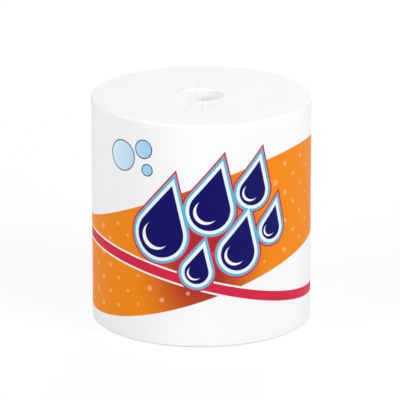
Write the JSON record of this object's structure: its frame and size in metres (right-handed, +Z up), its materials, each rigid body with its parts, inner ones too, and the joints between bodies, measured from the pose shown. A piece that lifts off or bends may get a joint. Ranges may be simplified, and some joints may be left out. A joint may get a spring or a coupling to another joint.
{
  "type": "paper towel roll",
  "caption": "Large kitchen paper towel roll standing on its end, wound on a hollow card core and wrapped in printed film that is pleated over the ends and tucked into the core.",
  "frame": {"origin": "middle of the base that the roll stands on", "axes": "+Z up along the roll and its hollow core, front of the print towards -Y, +X to the right seen from the front"},
  "size_m": [0.1938, 0.1938, 0.2018],
  "materials": {
    "film": "satin",
    "paper": "matte",
    "card": "matte"
  },
  "bodies": {
    "root": {"film_wrap": "film", "paper_roll": "paper", "core_tube": "card"}
  },
  "joints": []
}
